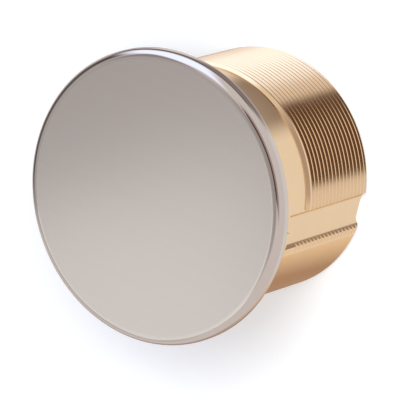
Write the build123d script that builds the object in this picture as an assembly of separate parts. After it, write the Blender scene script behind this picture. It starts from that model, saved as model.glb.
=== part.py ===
from build123d import *
import math
import os

# A blank mortise cylinder: one brass piece, with a broad head, a neck cut back over one side, a
# threaded body and two set-screw grooves. It stands on its rear end, with +Z along the axis to
# the face. All sizes are in millimetres.

# Overall
overall_length = 24.5

# Head
head_diameter = 34.93
head_thickness = 2.0
face_edge_radius = 1.1
back_edge_radius = 0.4

# Neck, cut back from the head to the thread over the +Y side, from groove to groove. Its depth is
# measured from the thread's outside diameter.
neck_depth = 0.38
neck_length = 8.85
neck_arc = 180
neck_corner_radius = 0.25

# Thread, kept as its outside diameter with the tapers at its two ends
thread_diameter = 29.21
start_taper_length = 0.33
end_taper_depth = 0.45
end_taper_length = 0.7

# Set-screw grooves, milled from the rear end towards the head, with a flat floor, sloping walls
# and rounded corners between them. The floor's width is measured between the sharp corners.
groove_floor_width = 3.44
groove_depth = 1.0
groove_wall_slope = 30
groove_corner_radius = 0.85
groove_to_head = 5.55

head_radius = head_diameter / 2
thread_radius = thread_diameter / 2
neck_radius = thread_radius - neck_depth
underside_height = overall_length - head_thickness
neck_end_height = underside_height - neck_length
thread_top_height = neck_end_height - start_taper_length
corner_height = underside_height - neck_corner_radius
groove_end_height = underside_height - groove_to_head
groove_floor_radius = thread_radius - groove_depth


def turned_blank():
    """The whole piece as it leaves the lathe, spun from its half section."""
    rear_radius = thread_radius - end_taper_depth
    face_flat = head_radius - face_edge_radius
    back_flat = head_radius - back_edge_radius
    land_top = overall_length - face_edge_radius
    land_bottom = underside_height + back_edge_radius
    corner_radius = thread_radius + neck_corner_radius
    with BuildPart() as blank:
        with BuildSketch(Plane.XZ):
            with BuildLine():
                Polyline(
                    (0, overall_length),
                    (0, 0),
                    (rear_radius, 0),
                    (thread_radius, end_taper_length),
                    (thread_radius, corner_height),
                )
                RadiusArc((thread_radius, corner_height), (corner_radius, underside_height), neck_corner_radius)
                Line((corner_radius, underside_height), (back_flat, underside_height))
                RadiusArc((back_flat, underside_height), (head_radius, land_bottom), -back_edge_radius)
                Line((head_radius, land_bottom), (head_radius, land_top))
                RadiusArc((head_radius, land_top), (face_flat, overall_length), -face_edge_radius)
                Line((face_flat, overall_length), (0, overall_length))
            make_face()
        revolve(axis=Axis.Z)
    return blank.part


def neck_space():
    """The space cut back round the neck, a ring over one side of the body."""
    corner_radius = neck_radius + neck_corner_radius
    outside = thread_radius + 2 * neck_corner_radius
    with BuildPart() as space:
        with BuildSketch(Plane.XZ):
            with BuildLine():
                Polyline(
                    (corner_radius, underside_height),
                    (outside, underside_height),
                    (outside, thread_top_height),
                    (thread_radius, thread_top_height),
                    (neck_radius, neck_end_height),
                    (neck_radius, corner_height),
                )
                RadiusArc((neck_radius, corner_height), (corner_radius, underside_height), neck_corner_radius)
            make_face()
        revolve(axis=Axis.Z, revolution_arc=neck_arc)
    return space.part


def groove_cutters():
    """The space that the cutter sweeps along the body, on the +X side and on the -X side."""
    reach = 1.5 * groove_depth
    half_floor = groove_floor_width / 2
    half_mouth = half_floor + reach * math.tan(math.radians(groove_wall_slope))
    with BuildPart() as cutter:
        with BuildSketch(Plane.XY) as section:
            with BuildLine():
                Polyline(
                    (groove_floor_radius, -half_floor),
                    (groove_floor_radius + reach, -half_mouth),
                    (groove_floor_radius + reach, half_mouth),
                    (groove_floor_radius, half_floor),
                    close=True,
                )
            make_face()
            fillet(section.vertices().group_by(Axis.X)[0], groove_corner_radius)
        extrude(amount=groove_end_height)
    return cutter.part + cutter.part.rotate(Axis.Z, 180)


os.makedirs("parts", exist_ok=True)
blank_cylinder = turned_blank() - neck_space() - groove_cutters()
export_step(blank_cylinder, "parts/blank_cylinder.step")
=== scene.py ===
import math

import bmesh
import bpy
from bpy.props import FloatProperty, FloatVectorProperty, IntProperty, PointerProperty
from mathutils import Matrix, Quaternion, Vector


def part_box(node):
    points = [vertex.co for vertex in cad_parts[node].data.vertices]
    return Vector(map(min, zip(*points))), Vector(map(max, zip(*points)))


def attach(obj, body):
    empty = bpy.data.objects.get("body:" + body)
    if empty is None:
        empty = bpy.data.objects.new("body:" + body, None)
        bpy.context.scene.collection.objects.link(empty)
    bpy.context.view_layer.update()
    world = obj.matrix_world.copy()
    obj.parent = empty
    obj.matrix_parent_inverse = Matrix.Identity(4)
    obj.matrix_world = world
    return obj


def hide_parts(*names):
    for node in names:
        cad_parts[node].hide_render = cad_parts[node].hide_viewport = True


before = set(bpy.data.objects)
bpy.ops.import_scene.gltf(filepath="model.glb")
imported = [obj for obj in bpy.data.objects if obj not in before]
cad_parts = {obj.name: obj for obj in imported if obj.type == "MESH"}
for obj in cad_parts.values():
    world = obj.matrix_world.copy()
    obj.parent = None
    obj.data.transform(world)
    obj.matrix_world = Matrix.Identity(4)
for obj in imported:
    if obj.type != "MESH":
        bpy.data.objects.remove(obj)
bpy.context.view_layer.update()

bl_info = {
    "name": "Blank mortise cylinder",
    "version": (1, 0, 0),
    "blender": (4, 5, 0),
    "location": "View3D > Sidebar > Cylinder",
    "description": "Turns, threads, mills and finishes a keyless mortise cylinder on a stage",
    "category": "Object",
}

MM = 0.001
NODE = "blank_cylinder"
PIECE = "dressed_cylinder"
NODE_LOW, NODE_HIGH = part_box(NODE)
OVERALL_LENGTH = NODE_HIGH.z - NODE_LOW.z
HEAD_DIAMETER = NODE_HIGH.x - NODE_LOW.x
SAME_PLACE = 0.002 * MM

# Points nearer than this are merged after a cut, and thinner faces are dissolved.
MERGED = 0.0005 * MM
SLIVER = 0.0002 * MM

# How the thread's tool is shaped and led: the slope of its sides, how far it reaches past the
# crests, and where its straight way out starts, as a share of the set-screw groove's depth and as
# a distance past the middle of that groove. Faces in the crest band stay turned, not milled.
THREAD_FLANK = math.radians(30.0)
CREST_SPARE = 0.06 * MM
RUN_OUT_ROOT = 0.9
RUN_OUT_SETBACK = 0.3 * MM
CREST_BAND = 0.03 * MM
TURNED, PLATED, MILLED = range(3)


def length(name, description, default):
    """A size in metres, shown in the scene's own units."""
    return FloatProperty(name=name, description=description, default=default, min=0.0,
                         unit="LENGTH", subtype="DISTANCE", precision=5)


def place(name, description, default):
    """A coordinate in metres, which may be below zero."""
    return FloatProperty(name=name, description=description, default=default, unit="LENGTH",
                         subtype="DISTANCE", precision=5)


def angle(name, description, degrees):
    """A turn, kept in radians and shown in degrees."""
    return FloatProperty(name=name, description=description, default=math.radians(degrees),
                         unit="ROTATION", subtype="ANGLE")


def colour(name, description, default):
    """A linear colour."""
    return FloatVectorProperty(name=name, description=description, default=default, size=3,
                               min=0.0, max=1.0, subtype="COLOR")


class CylinderSizes(bpy.types.PropertyGroup):
    """Sizes of the turned blank, its thread and its set-screw grooves."""
    head_diameter: length("Head diameter", "Across the head", HEAD_DIAMETER)
    overall_length: length("Overall length", "From the rear end to the face", OVERALL_LENGTH)
    head_thickness: length("Head thickness", "From the face to the underside", 2.0 * MM)
    face_edge_radius: length("Face edge radius", "Rounding of the edge round the face", 1.1 * MM)
    back_edge_radius: length("Back edge radius", "Rounding of the head's rear edge", 0.4 * MM)
    neck_depth: length("Neck depth", "How far the +Y side is cut back", 0.38 * MM)
    neck_length: length("Neck length", "From the head to the thread", 8.85 * MM)
    neck_corner_radius: length("Neck corner radius", "Fillet under the head", 0.25 * MM)
    thread_diameter: length("Thread diameter", "Across the thread's crests", 29.21 * MM)
    start_taper: length("Start taper", "Slope from the neck to the thread", 0.33 * MM)
    end_taper_depth: length("End taper depth", "How far the rear edge is turned down", 0.45 * MM)
    end_taper_length: length("End taper length", "Length of the slope at the rear edge", 0.7 * MM)
    thread_pitch: length("Thread pitch", "One turn in 32 to the inch", 25.4 * MM / 32)
    thread_depth: length("Thread depth", "From crest to root", 0.485 * MM)
    root_flat: length("Root flat", "Width of the thread's flat root", 0.1 * MM)
    first_groove: length("First groove", "Height of the groove next to the neck", 12.716 * MM)
    first_groove_azimuth: angle("First groove azimuth", "Where that height is measured", 34.95)
    thread_grooves: IntProperty(name="Thread grooves", description="Turns on the +Y side",
                                default=17, min=1)
    run_out_grooves: IntProperty(name="Run-out grooves", default=2, min=0,
                                 description="Further run-outs beside the neck")
    run_out_length: length("Run-out length", "The tool's straight way past +Y", 4.0 * MM)
    run_out_rise: length("Run-out rise", "How far it moves outwards on that way", 0.85 * MM)
    groove_floor_width: length("Groove floor width", "Between its sharp corners", 3.44 * MM)
    groove_wall_slope: angle("Groove wall slope", "Lean of the groove's walls", 30)
    groove_depth: length("Groove depth", "Depth below the thread's crests", 1.0 * MM)
    groove_corner_radius: length("Groove corner radius", "Rounding beside the floor", 0.85 * MM)
    groove_to_head: length("Groove to head", "Plain length left in front of the groove", 5.55 * MM)
    facets: IntProperty(name="Facets", description="Sides of the turned circle", default=256,
                        min=32)


class CylinderFinish(bpy.types.PropertyGroup):
    """Colours of the bare brass and of the plated head."""
    brass: colour("Brass", "Bright turned brass", (0.86, 0.64, 0.39))
    plating: colour("Plating", "Satin plating of the head", (0.66, 0.605, 0.54))


class StageSettings(bpy.types.PropertyGroup):
    """The camera and the studio round the part."""
    camera_azimuth: angle("Camera azimuth", "0 looks along +Y, 90 looks along -X", 124.95)
    camera_elevation: angle("Camera elevation", "Above the floor", 55.5)
    camera_roll: angle("Camera roll", "Clockwise turn of the picture's up", 106.405)
    camera_distance: length("Camera distance", "From the aim point to the camera", 521.5 * MM)
    camera_lens: FloatProperty(name="Focal length", description="In millimetres on a 36 mm sensor",
                               default=405.0, min=1.0)
    aim_x: place("Aim X", "Point in the picture's centre", 4.10 * MM)
    aim_y: place("Aim Y", "Point in the picture's centre", 0.77 * MM)
    aim_z: place("Aim Z", "Point in the picture's centre", 20.79 * MM)


def select_only(piece):
    """Makes the piece the only selected and the active object."""
    bpy.ops.object.select_all(action="DESELECT")
    piece.select_set(True)
    bpy.context.view_layer.objects.active = piece


def edit(piece):
    """Opens the piece alone in edit mode."""
    select_only(piece)
    bpy.ops.object.mode_set(mode="EDIT")


def leave_edit():
    bpy.ops.object.mode_set(mode="OBJECT")


def pick(piece, kind, test):
    """Selects, in edit mode, the vertices, edges or faces that pass the test, and nothing else."""
    bpy.ops.mesh.select_mode(type=kind)
    bpy.ops.mesh.select_all(action="DESELECT")
    cage = bmesh.from_edit_mesh(piece.data)
    for part in {"VERT": cage.verts, "EDGE": cage.edges, "FACE": cage.faces}[kind]:
        if test(part):
            part.select_set(True)
    cage.select_flush_mode()
    bmesh.update_edit_mesh(piece.data)


def face_outwards():
    """Turns every face outwards, in edit mode."""
    bpy.ops.mesh.select_all(action="SELECT")
    bpy.ops.mesh.normals_make_consistent(inside=False)


def apply_modifier(piece, name, kind, **settings):
    """Adds a modifier with these settings and applies it."""
    modifier = piece.modifiers.new(name, kind)
    for key, value in settings.items():
        setattr(modifier, key, value)
    select_only(piece)
    bpy.ops.object.modifier_apply(modifier=name)


def on_ring(radius, height):
    """A test for the edges of the ring at this radius and height."""
    def test(part):
        return all(abs(v.co.xy.length - radius) < SAME_PLACE and abs(v.co.z - height) < SAME_PLACE
                   for v in part.verts)
    return test


def turn_blank(sizes):
    """The turned blank: rings drawn up from the rear end to the face, then its rounded edges."""
    head = sizes.head_diameter / 2
    crest = sizes.thread_diameter / 2
    underside = sizes.overall_length - sizes.head_thickness
    rings = [
        (crest - sizes.end_taper_depth, 0.0),
        (crest, sizes.end_taper_length),
        (crest, underside),
        (head, underside),
        (head, sizes.overall_length),
    ]
    bpy.ops.object.select_all(action="DESELECT")
    bpy.ops.mesh.primitive_circle_add(vertices=sizes.facets, radius=rings[0][0], fill_type="NGON")
    blank = bpy.context.object
    blank.name = blank.data.name = PIECE
    bpy.ops.object.mode_set(mode="EDIT")
    bpy.ops.mesh.select_all(action="SELECT")
    for (radius, height), (next_radius, next_height) in zip(rings, rings[1:]):
        rise = (0, 0, next_height - height)
        bpy.ops.mesh.extrude_region_move(TRANSFORM_OT_translate={"value": rise})
        if next_radius != radius:
            ratio = next_radius / radius
            bpy.ops.transform.resize(value=(ratio, ratio, 1), center_override=(0, 0, next_height))
    for ring, rounding, steps in (
        ((crest, underside), sizes.neck_corner_radius, 5),
        ((head, underside), sizes.back_edge_radius, 8),
        ((head, sizes.overall_length), sizes.face_edge_radius, 16),
    ):
        pick(blank, "EDGE", on_ring(*ring))
        bpy.ops.mesh.bevel(offset=rounding, segments=steps, profile=0.5, affect="EDGES")
    face_outwards()
    leave_edit()
    return blank


def half_turn(section, sizes, rise=0.0):
    """Winds a flat section over the +Y side, from +X to -X, and closes its two ends."""
    edit(section)
    bpy.ops.mesh.select_all(action="SELECT")
    bpy.ops.mesh.delete(type="ONLY_FACE")
    leave_edit()
    steps = sizes.facets // 2
    apply_modifier(section, "wind", "SCREW", axis="Z", angle=math.pi, iterations=1,
                   screw_offset=rise, steps=steps, render_steps=steps)
    edit(section)
    bpy.ops.mesh.select_all(action="SELECT")
    bpy.ops.mesh.fill_holes(sides=0)
    face_outwards()
    leave_edit()


def section_plane(low, high, inner, outer):
    """A flat section in the XZ plane, between two heights and two radii."""
    bpy.ops.object.select_all(action="DESELECT")
    bpy.ops.mesh.primitive_plane_add(size=1.0, location=((inner + outer) / 2, 0, (low + high) / 2),
                                     rotation=(math.radians(90), 0, 0))
    section = bpy.context.object
    section.scale = (outer - inner, high - low, 1)
    bpy.ops.object.transform_apply(location=True, rotation=True, scale=True)
    return section


def neck_space(sizes):
    """The space cut back round the neck, with the thread's slope and the corner's fillet."""
    crest = sizes.thread_diameter / 2
    neck = crest - sizes.neck_depth
    underside = sizes.overall_length - sizes.head_thickness
    neck_foot = underside - sizes.neck_length
    spare = 2 * sizes.neck_corner_radius
    section = section_plane(neck_foot - sizes.start_taper, underside, neck, crest + spare)
    edit(section)
    pick(section, "VERT", lambda v: v.co.x < crest and v.co.z < neck_foot)
    bpy.ops.mesh.bevel(offset=sizes.start_taper, affect="VERTICES", segments=1)
    cage = bmesh.from_edit_mesh(section.data)
    for vertex in cage.verts:
        if vertex.co.z < neck_foot + SAME_PLACE and vertex.co.x < crest + SAME_PLACE:
            low = vertex.co.z < neck_foot - sizes.start_taper + SAME_PLACE
            vertex.co.x = crest if low else neck
    bmesh.update_edit_mesh(section.data)
    pick(section, "VERT", lambda v: v.co.x < neck + SAME_PLACE and v.co.z > underside - SAME_PLACE)
    bpy.ops.mesh.bevel(offset=sizes.neck_corner_radius, affect="VERTICES", segments=5)
    leave_edit()
    half_turn(section, sizes)
    return section


def cut_away(piece, cutter):
    """Takes the cutter's space out of the piece and merges the points that lie together."""
    apply_modifier(piece, "cut", "BOOLEAN", object=cutter, operation="DIFFERENCE", solver="EXACT")
    bpy.data.meshes.remove(cutter.data)
    edit(piece)
    bpy.ops.mesh.select_all(action="SELECT")
    bpy.ops.mesh.remove_doubles(threshold=MERGED)
    bpy.ops.mesh.dissolve_degenerate(threshold=SLIVER)
    face_outwards()
    leave_edit()


def thread_section(sizes, height, root):
    """The threading tool's trapezoid, with its narrow side at the root."""
    outer = root + sizes.thread_depth + CREST_SPARE
    mouth = sizes.root_flat + 2 * (outer - root) * math.tan(THREAD_FLANK)
    section = section_plane(height - mouth / 2, height + mouth / 2, root, outer)
    edit(section)
    pick(section, "VERT", lambda v: v.co.x < (root + outer) / 2)
    bpy.ops.transform.resize(value=(1, 1, sizes.root_flat / mouth))
    leave_edit()
    return section


def lowest_groove(sizes):
    """The height of the lowest thread groove where it starts, on +X."""
    turns = sizes.first_groove_azimuth / math.tau + sizes.thread_grooves - 1
    return sizes.first_groove - sizes.thread_pitch * turns


def thread_cutter(sizes):
    """The path of the threading tool over the +Y side, once for each groove."""
    root = sizes.thread_diameter / 2 - sizes.thread_depth
    cutter = thread_section(sizes, lowest_groove(sizes), root)
    half_turn(cutter, sizes, rise=sizes.thread_pitch / 2)
    repeat_by_pitch(cutter, sizes, sizes.thread_grooves)
    return cutter


def run_out_cutter(sizes, side):
    """The straight ways by which the tool leaves the body past the set-screw groove on a side."""
    turns = 1.0 if side > 0 else 1.5
    root = sizes.thread_diameter / 2 - RUN_OUT_ROOT * sizes.groove_depth
    cutter = thread_section(sizes, lowest_groove(sizes) + turns * sizes.thread_pitch, root)
    edit(cutter)
    bpy.ops.mesh.select_all(action="SELECT")
    bpy.ops.transform.translate(value=(0, -RUN_OUT_SETBACK, 0))
    bpy.ops.mesh.extrude_region_move(
        TRANSFORM_OT_translate={"value": (sizes.run_out_rise, -sizes.run_out_length, 0)})
    leave_edit()
    cutter.scale.x = side
    bpy.ops.object.transform_apply(location=False, rotation=False, scale=True)
    edit(cutter)
    face_outwards()
    leave_edit()
    repeat_by_pitch(cutter, sizes, sizes.thread_grooves - 1 + sizes.run_out_grooves)
    return cutter


def repeat_by_pitch(cutter, sizes, count):
    """Sets copies of the cutter above it, one for each turn."""
    apply_modifier(cutter, "repeat", "ARRAY", count=count, use_relative_offset=False,
                   use_constant_offset=True, constant_offset_displace=(0, 0, sizes.thread_pitch))


def groove_cutter(sizes, side):
    """The space of the milling cutter on one side, from the rear end to the groove's end."""
    spare = 1.0 * MM
    top = sizes.overall_length - sizes.head_thickness - sizes.groove_to_head
    floor = sizes.thread_diameter / 2 - sizes.groove_depth
    height = 1.5 * sizes.groove_depth
    mouth = sizes.groove_floor_width + 2 * height * math.tan(sizes.groove_wall_slope)
    bpy.ops.object.select_all(action="DESELECT")
    middle = (side * (floor + height / 2), 0, (top - spare) / 2)
    bpy.ops.mesh.primitive_cube_add(size=1.0, location=middle,
                                    scale=(height, sizes.groove_floor_width, top + spare))
    cutter = bpy.context.object
    bpy.ops.object.transform_apply(location=True, rotation=True, scale=True)
    bpy.ops.object.mode_set(mode="EDIT")
    pick(cutter, "FACE",
         lambda face: all(abs(v.co.x) > floor + SAME_PLACE for v in face.verts))
    bpy.ops.transform.resize(value=(1, mouth / sizes.groove_floor_width, 1),
                             center_override=(side * (floor + height), 0, top / 2))
    pick(cutter, "EDGE",
         lambda edge: all(abs(abs(v.co.x) - floor) < SAME_PLACE for v in edge.verts)
         and abs(edge.verts[0].co.z - edge.verts[1].co.z) > SAME_PLACE)
    lean = math.radians(90) - sizes.groove_wall_slope
    reach = sizes.groove_corner_radius * math.tan(lean / 2)
    bpy.ops.mesh.bevel(offset=reach, segments=16, profile=0.5, affect="EDGES")
    leave_edit()
    return cutter


def assign_finishes(piece, sizes, finish):
    """Gives each face its finish by its place on the piece."""
    crest = sizes.thread_diameter / 2
    underside = sizes.overall_length - sizes.head_thickness
    groove_top = underside - sizes.groove_to_head
    floor = crest - sizes.groove_depth
    wall = sizes.groove_depth * math.tan(sizes.groove_wall_slope)
    half_mouth = sizes.groove_floor_width / 2 + wall
    for material in (turned_brass(finish), satin_plating(finish), milled_brass(finish)):
        piece.data.materials.append(material)
    for face in piece.data.polygons:
        x, y, z = face.center
        if z > underside - SAME_PLACE:
            face.material_index = PLATED
        elif (z < groove_top + SAME_PLACE and abs(y) < half_mouth
              and floor - SAME_PLACE < abs(x) < math.sqrt(crest**2 - y**2) - CREST_BAND):
            face.material_index = MILLED
        else:
            face.material_index = TURNED


class Value:
    """A shader socket that adds Math nodes where it is used in an expression."""

    def __init__(self, maker, socket):
        self.maker = maker
        self.socket = socket

    def __add__(self, other):
        return self.maker.math("ADD", self, other)

    def __radd__(self, other):
        return self.maker.math("ADD", other, self)

    def __sub__(self, other):
        return self.maker.math("SUBTRACT", self, other)

    def __rsub__(self, other):
        return self.maker.math("SUBTRACT", other, self)

    def __mul__(self, other):
        return self.maker.math("MULTIPLY", self, other)

    def __rmul__(self, other):
        return self.maker.math("MULTIPLY", other, self)

    def __truediv__(self, other):
        return self.maker.math("DIVIDE", self, other)

    def __rtruediv__(self, other):
        return self.maker.math("DIVIDE", other, self)

    def __pow__(self, other):
        return self.maker.math("POWER", self, other)

    def __rpow__(self, other):
        return self.maker.math("POWER", other, self)


class NodeMaker:
    """Adds nodes to one node tree, with their settings and the values or links of their sockets."""

    def __init__(self, tree):
        self.tree = tree
        tree.nodes.clear()

    def node(self, kind, settings=None, **sockets):
        """Adds a node. A socket is given by its name, with spaces written as underscores."""
        made = self.tree.nodes.new(kind)
        for key, value in (settings or {}).items():
            setattr(made, key, value)
        for key, value in sockets.items():
            self.feed(self.find(made.inputs, key), value)
        return made

    def find(self, sockets, key):
        if key.startswith("input_"):
            return sockets[int(key[len("input_"):])]
        return sockets[key.replace("_", " ")]

    def feed(self, socket, value):
        if isinstance(value, Value):
            self.tree.links.new(value.socket, socket)
        else:
            socket.default_value = value

    def out(self, made, key=0):
        return Value(self, made.outputs[key])

    def math(self, operation, *values):
        inputs = {f"input_{i}": value for i, value in enumerate(values)}
        return self.out(self.node("ShaderNodeMath", {"operation": operation}, **inputs))

    def within(self, value, limit, edge):
        """1 below the limit, 0 above, with a soft edge."""
        made = self.node("ShaderNodeMapRange", {"interpolation_type": "SMOOTHSTEP"}, Value=value,
                         From_Min=limit - edge, From_Max=limit + edge, To_Min=1.0, To_Max=0.0)
        return self.out(made)

    def mix(self, share, first, second):
        """Mixes two colours."""
        made = self.node("ShaderNodeMix", {"data_type": "RGBA"}, input_0=share, input_6=first,
                         input_7=second)
        return self.out(made, 2)


def rgba(shade, level=1.0):
    return (*(channel * level for channel in shade), 1.0)


class Finish(NodeMaker):
    """A procedural metal finish on Object coordinates."""

    def __init__(self, name):
        self.material = bpy.data.materials.new(name)
        self.material.use_nodes = True
        super().__init__(self.material.node_tree)
        self.place = self.out(self.node("ShaderNodeTexCoord"), "Object")
        split = self.node("ShaderNodeSeparateXYZ", Vector=self.place)
        self.x, self.y, self.z = (self.out(split, axis) for axis in "XYZ")
        self.radius = (self.x * self.x + self.y * self.y) ** 0.5

    def lines(self, along, spacing, seed):
        """Fine parallel marks: noise of one value, with this spacing in metres."""
        made = self.node("ShaderNodeTexNoise", {"noise_dimensions": "1D"}, W=along / spacing + seed,
                         Scale=1.0, Detail=2.0, Roughness=0.6)
        return self.out(made)

    def stretched(self, turn, across, lengthwise):
        """Noise drawn out along one direction of the face plane."""
        mapped = self.node("ShaderNodeMapping", {"vector_type": "POINT"}, Vector=self.place,
                           Rotation=(0, 0, turn), Scale=(1 / lengthwise, 1 / across, 1 / across))
        made = self.node("ShaderNodeTexNoise", {"noise_dimensions": "3D"}, Vector=self.out(mapped),
                         Scale=1.0, Detail=2.0, Roughness=0.55)
        return self.out(made)

    def clouds(self, size):
        """Soft blotches of this size in metres."""
        made = self.node("ShaderNodeTexNoise", {"noise_dimensions": "3D"}, Vector=self.place,
                         Scale=1 / size, Detail=3.0, Roughness=0.5)
        return self.out(made)

    def metal(self, base, roughness, height, depth):
        """The metal's shader, with the height field as its bump."""
        bump = self.out(self.node("ShaderNodeBump", Strength=1.0, Distance=depth, Height=height))
        shader = self.node("ShaderNodeBsdfPrincipled", Metallic=1.0, Base_Color=base,
                           Roughness=roughness, Normal=bump)
        self.node("ShaderNodeOutputMaterial", Surface=self.out(shader))
        return self.material


def turned_brass(finish):
    """Bright brass with the fine rings that the lathe leaves."""
    f = Finish("turned_brass")
    ring_spacing = 0.06 * MM
    ring_depth = 0.0006 * MM
    rings = f.lines(f.z, ring_spacing, 3.0) + f.lines(f.radius, ring_spacing, 17.0)
    patches = f.clouds(4.0 * MM)
    base = f.mix(patches, rgba(finish.brass, 0.94), rgba(finish.brass))
    roughness = 0.07 + 0.05 * patches + 0.03 * rings
    return f.metal(base, roughness, rings, ring_depth)


def milled_brass(finish):
    """Brass in the grooves, with short marks across the cutter's way."""
    f = Finish("milled_brass")
    mark_spacing = 0.12 * MM
    mark_depth = 0.001 * MM
    marks = f.lines(f.z, mark_spacing, 5.0)
    patches = f.clouds(2.0 * MM)
    base = f.mix(patches, rgba(finish.brass, 0.93), rgba(finish.brass))
    roughness = 0.14 + 0.06 * patches
    return f.metal(base, roughness, marks, mark_depth)


def satin_plating(finish):
    """Satin plating, brushed in one direction across the face."""
    f = Finish("satin_plating")
    brush_turn = math.radians(-111.3)
    stroke_depth = 0.002 * MM
    face_radius = 16.35 * MM
    strokes = f.stretched(brush_turn, 0.08 * MM, 12.0 * MM)
    broad = f.stretched(brush_turn, 0.6 * MM, 30.0 * MM)
    base = f.mix(0.5 * strokes + 0.5 * broad, rgba(finish.plating, 0.93), rgba(finish.plating))
    face = f.within(f.radius, face_radius, 0.15 * MM)
    roughness = 0.1 + (0.2 + 0.1 * strokes) * face
    return f.metal(base, roughness, strokes * face, stroke_depth)


class CYLINDER_OT_build(bpy.types.Operator):
    """Turns the blank, cuts its thread, mills its grooves and gives it its finishes"""
    bl_idname = "cylinder.build"
    bl_label = "Build the cylinder"

    def execute(self, context):
        sizes = context.scene.cylinder_sizes
        piece = turn_blank(sizes)
        for side in (1, -1):
            cut_away(piece, run_out_cutter(sizes, side))
        cut_away(piece, neck_space(sizes))
        cut_away(piece, thread_cutter(sizes))
        for side in (1, -1):
            cut_away(piece, groove_cutter(sizes, side))
        check_closed(piece)
        assign_finishes(piece, sizes, context.scene.cylinder_finish)
        select_only(piece)
        bpy.ops.object.shade_smooth_by_angle(angle=math.radians(28))
        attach(piece, "root")
        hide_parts(NODE)
        return {"FINISHED"}


def check_closed(piece):
    """Stops the script if the finished mesh is open or inside out."""
    cage = bmesh.new()
    cage.from_mesh(piece.data)
    open_edges = sum(not edge.is_manifold for edge in cage.edges)
    volume = cage.calc_volume()
    cage.free()
    if open_edges or volume <= 0:
        raise RuntimeError(f"the piece isn't closed: {open_edges} bad edges, volume {volume}")


class CYLINDER_OT_stage(bpy.types.Operator):
    """Sets the floor, the studio light and the camera"""
    bl_idname = "cylinder.stage"
    bl_label = "Set the stage"

    def execute(self, context):
        settings = context.scene.cylinder_stage
        make_floor()
        make_studio(context.scene)
        make_camera(context.scene, settings)
        return {"FINISHED"}


PAPER = (0.755, 0.80, 0.82)
PAPER_GLOW = 0.3
ROOM_LIGHT = (0.86, 0.80, 0.82)

# The studio's walls, as seen from the part: azimuth from +X towards +Y, elevation, half width,
# half height and soft edge in degrees, and the light that comes from there.
WALLS = (
    ("table", 0, -90, 181, 45, 10, (0.94, 0.92, 0.95)),
    ("ceiling", 0, 90, 181, 22, 8, (0.48, 0.43, 0.44)),
    ("left wall", -145, 45, 40, 25, 14, (0.54, 0.53, 0.56)),
    ("far left gap", 182, 6, 28, 20, 8, (0.14, 0.12, 0.12)),
    ("low band", 102, -52, 36, 14, 14, (0.27, 0.22, 0.22)),
    ("horizon gap", 118, -27, 46, 11, 6, (0.20, 0.16, 0.16)),
    ("far wall", -105, -30, 34, 12, 10, (0.40, 0.38, 0.39)),
    ("near floor", -76, -58, 20, 26, 16, (0.92, 0.76, 0.60)),
    ("warm floor", -130, -58, 48, 26, 24, (0.45, 0.29, 0.19)),
    ("top soft box", 127, 22, 26, 30, 8, (1.4, 1.6, 2.15)),
    ("upper left gap", 162, 48, 16, 14, 6, (0.40, 0.35, 0.38)),
    ("gap edge", 36, 44, 40, 7, 6, (0.42, 0.36, 0.38)),
    ("camera gap", 43, 61, 44, 9, 4, (0.12, 0.06, 0.035)),
)


def make_floor():
    """A wide sheet of pale paper. It shows as white to the camera, and keeps the part's shadow."""
    bpy.ops.object.select_all(action="DESELECT")
    bpy.ops.mesh.primitive_plane_add(size=4.0)
    floor = bpy.context.object
    floor.name = floor.data.name = "floor"
    material = bpy.data.materials.new("floor_paper")
    material.use_nodes = True
    m = NodeMaker(material.node_tree)
    seen = m.out(m.node("ShaderNodeLightPath"), "Is Camera Ray")
    paper = m.node("ShaderNodeBsdfDiffuse", Color=rgba(PAPER))
    glow = m.node("ShaderNodeEmission", Color=(1, 1, 1, 1), Strength=PAPER_GLOW * seen)
    both = m.node("ShaderNodeAddShader", input_0=m.out(paper), input_1=m.out(glow))
    m.node("ShaderNodeOutputMaterial", Surface=m.out(both))
    floor.data.materials.append(material)
    floor.visible_glossy = False


def make_studio(scene):
    """A studio that the camera sees as white, with soft boxes and gaps that the metal mirrors."""
    world = bpy.data.worlds.new("studio")
    scene.world = world
    world.use_nodes = True
    m = NodeMaker(world.node_tree)
    ray = m.out(m.node("ShaderNodeTexCoord"), "Generated")
    light = rgba(ROOM_LIGHT)
    for _, azimuth, elevation, half_width, half_height, edge, level in WALLS:
        turned = m.node("ShaderNodeVectorRotate", {"rotation_type": "Z_AXIS"}, Vector=ray,
                        Angle=-math.radians(azimuth))
        split = m.node("ShaderNodeSeparateXYZ", Vector=m.out(turned))
        x, y, z = (m.out(split, axis) for axis in "XYZ")
        aside = m.math("ABSOLUTE", m.math("ARCTAN2", y, x))
        above = m.math("ABSOLUTE", m.math("ARCSINE", z) - math.radians(elevation))
        soft = math.radians(edge)
        share = (m.within(aside, math.radians(half_width), soft)
                 * m.within(above, math.radians(half_height), soft))
        light = m.mix(share, light, rgba(level))
    rays = m.node("ShaderNodeLightPath")
    white = m.node("ShaderNodeBackground", Color=(1, 1, 1, 1), Strength=1.0)
    studio = m.node("ShaderNodeBackground", Color=light, Strength=1.0)
    both = m.node("ShaderNodeMixShader", input_0=m.out(rays, "Is Camera Ray"),
                  input_1=m.out(studio), input_2=m.out(white))
    m.node("ShaderNodeOutputWorld", Surface=m.out(both))
    floor_lamp = add_lamp(scene, "floor_lamp", (56.0, 57.0, 150.0), (0.0, 0.0, 0.0), 50.0, 0.17)
    floor_lamp.visible_glossy = False
    card = add_lamp(scene, "face_card", (-17.2, -37.7, 69.0), (7.9, -20.2, 24.5), 50.0, 0.004)
    card.visible_diffuse = False
    card.data.color = (0.94, 1.0, 1.06)


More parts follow.
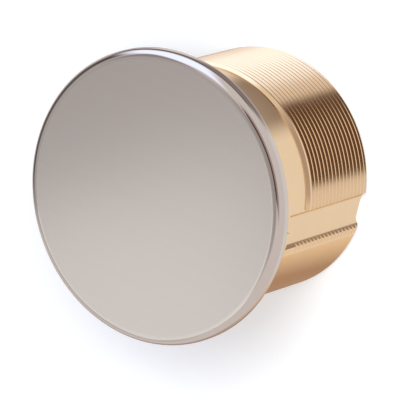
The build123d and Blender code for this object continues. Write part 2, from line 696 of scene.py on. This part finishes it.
def add_lamp(scene, name, place, aim, size, power):
    """A square soft lamp that the camera doesn't see. Places and sizes are in millimetres."""
    lamp = bpy.data.objects.new(name, bpy.data.lights.new(name, "AREA"))
    scene.collection.objects.link(lamp)
    lamp.location = Vector(place) * MM
    lamp.rotation_mode = "QUATERNION"
    lamp.rotation_quaternion = (Vector(aim) - Vector(place)).to_track_quat("-Z", "Y")
    lamp.data.size = size * MM
    lamp.data.energy = power
    lamp.visible_camera = False
    return lamp


def make_camera(scene, settings):
    """The camera, aimed at the part from the set angles and turned by the set roll."""
    azimuth, elevation = settings.camera_azimuth, settings.camera_elevation
    back = Vector((math.sin(azimuth) * math.cos(elevation),
                   -math.cos(azimuth) * math.cos(elevation), math.sin(elevation)))
    camera = bpy.data.objects.new("camera", bpy.data.cameras.new("camera"))
    scene.collection.objects.link(camera)
    camera.data.sensor_width = 36.0
    camera.data.lens = settings.camera_lens
    camera.data.clip_start = 0.01
    camera.data.clip_end = 20.0
    aim = Vector((settings.aim_x, settings.aim_y, settings.aim_z))
    camera.location = aim + back * settings.camera_distance
    camera.rotation_mode = "QUATERNION"
    upright = (-back).to_track_quat("-Z", "Y")
    camera.rotation_quaternion = Quaternion(back, -settings.camera_roll) @ upright
    scene.camera = camera
    scene.view_settings.view_transform = "Standard"


class CYLINDER_PT_panel(bpy.types.Panel):
    """Lists the steps in the 3D view's sidebar"""
    bl_idname = "CYLINDER_PT_panel"
    bl_label = "Blank mortise cylinder"
    bl_space_type = "VIEW_3D"
    bl_region_type = "UI"
    bl_category = "Cylinder"

    def draw(self, context):
        for group in (context.scene.cylinder_sizes, context.scene.cylinder_finish,
                      context.scene.cylinder_stage):
            box = self.layout.box()
            for name in group.__annotations__:
                box.prop(group, name)
        for step in STEPS:
            self.layout.operator(step.bl_idname)


GROUPS = (CylinderSizes, CylinderFinish, StageSettings)
STEPS = (CYLINDER_OT_build, CYLINDER_OT_stage)
CLASSES = (*GROUPS, *STEPS, CYLINDER_PT_panel)


def register():
    for made in CLASSES:
        bpy.utils.register_class(made)
    bpy.types.Scene.cylinder_sizes = PointerProperty(type=CylinderSizes)
    bpy.types.Scene.cylinder_finish = PointerProperty(type=CylinderFinish)
    bpy.types.Scene.cylinder_stage = PointerProperty(type=StageSettings)


def unregister():
    del bpy.types.Scene.cylinder_stage
    del bpy.types.Scene.cylinder_finish
    del bpy.types.Scene.cylinder_sizes
    for made in reversed(CLASSES):
        bpy.utils.unregister_class(made)


def main():
    register()
    bpy.ops.cylinder.build()
    bpy.ops.cylinder.stage()


if __name__ == "__main__":
    main()
